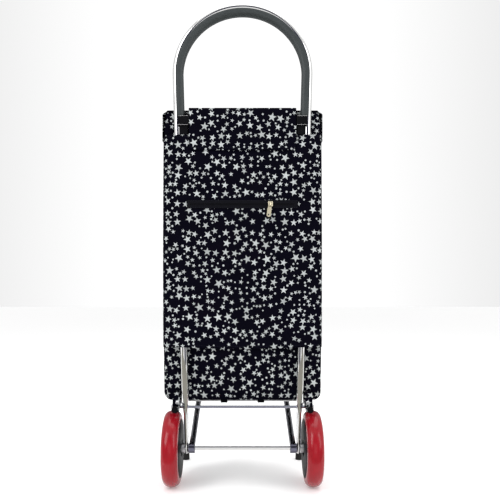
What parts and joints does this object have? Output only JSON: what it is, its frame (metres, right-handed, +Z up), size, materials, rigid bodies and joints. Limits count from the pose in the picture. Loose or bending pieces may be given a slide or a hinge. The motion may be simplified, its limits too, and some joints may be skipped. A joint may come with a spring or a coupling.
{
  "type": "shopping trolley",
  "caption": "Two-wheeled shopping trolley with an arched tube handle, spoked wheels, front legs and a tall star-print cloth bag with a lid and a rear zipped pocket.",
  "frame": {"origin": "on the floor, under the middle of the bounding box", "axes": "+Z up; +X to the user's right; the user stands on the -Y side, behind the handle"},
  "size_m": [0.3348, 0.289, 0.9945],
  "materials": {
    "chrome_tube": "bright chrome plate",
    "dark_chrome": "dark bright plate",
    "zinc": "zinc plate",
    "grip_rubber": "matte soft grip",
    "foot_rubber": "matte",
    "tyre_red": "glossy red",
    "black_plastic": "satin",
    "star_cloth": "printed polyester, pale stars on near-black navy",
    "black_tape": "woven tape",
    "base_board": "fibreboard stiffener",
    "zip_metal": "pale brass plate"
  },
  "bodies": {
    "frame": {"axle": "zinc", "axle_cap_left": "black_plastic", "axle_cap_right": "black_plastic", "axle_washer_left": "zinc", "axle_washer_right": "zinc", "bag_back": "star_cloth", "bag_bottom": "star_cloth", "bag_front": "star_cloth", "bag_side_left": "star_cloth", "bag_side_right": "star_cloth", "base_board": "base_board", "base_clip_left": "black_plastic", "base_clip_right": "black_plastic", "base_rail_left": "chrome_tube", "base_rail_right": "chrome_tube", "base_wire_front": "chrome_tube", "base_wire_rear": "chrome_tube", "corner_strap_left": "star_cloth", "corner_strap_right": "star_cloth", "cross_rod": "chrome_tube", "foot_left": "foot_rubber", "foot_right": "foot_rubber", "front_rod": "chrome_tube", "handle_grip": "grip_rubber", "handle_tube": "chrome_tube", "hanger_left": "black_plastic", "hanger_right": "black_plastic", "hanger_screw_left": "zinc", "hanger_screw_right": "zinc", "loop_tape": "black_tape", "rail_nut_left": "zinc", "rail_nut_right": "zinc", "rail_plug_left": "black_plastic", "rail_plug_right": "black_plastic", "rear_flap": "star_cloth", "sleeve_panel": "star_cloth", "snap_stud_left": "zinc", "snap_stud_right": "zinc", "stay_eye_left": "black_plastic", "stay_eye_right": "black_plastic", "stay_knuckle_left": "black_plastic", "stay_knuckle_right": "black_plastic", "stay_left": "dark_chrome", "stay_right": "dark_chrome", "top_hoop": "zinc", "zip_tape": "black_tape"},
    "wheel_left": {"tyre_left": "tyre_red", "wheel_hub_left": "black_plastic", "wheel_bush_left": "black_plastic"},
    "wheel_right": {"tyre_right": "tyre_red", "wheel_hub_right": "black_plastic", "wheel_bush_right": "black_plastic"},
    "lid": {"lid_top": "star_cloth", "lid_front": "star_cloth", "lid_side_left": "star_cloth", "lid_side_right": "star_cloth", "hook_tape": "black_tape"},
    "zip_slider": {"zip_slider": "zip_metal"},
    "zip_pull": {"zip_pull": "zip_metal"}
  },
  "joints": [
    {"name": "wheel_left_spin", "type": "hinge", "parent": "frame", "child": "wheel_left", "pos_m": [-0.1418, -0.0675, 0.077], "axis": [1, 0, 0], "continuous": true},
    {"name": "wheel_right_spin", "type": "hinge", "parent": "frame", "child": "wheel_right", "pos_m": [0.1418, -0.0675, 0.077], "axis": [1, 0, 0], "continuous": true},
    {"name": "lid_open", "type": "hinge", "parent": "frame", "child": "lid", "pos_m": [0, -0.0574, 0.7785], "axis": [1, 0, 0], "range_deg": [0, 88]},
    {"name": "zip_slide", "type": "slide", "parent": "frame", "child": "zip_slider", "axis": [1, 0, 0], "range_m": [-0.162, 0.048]},
    {"name": "zip_pull_swing", "type": "hinge", "parent": "zip_slider", "child": "zip_pull", "pos_m": [0.057, -0.0834, 0.5817], "axis": [-0.9903, 0, 0.1392], "range_deg": [0, 150]}
  ]
}
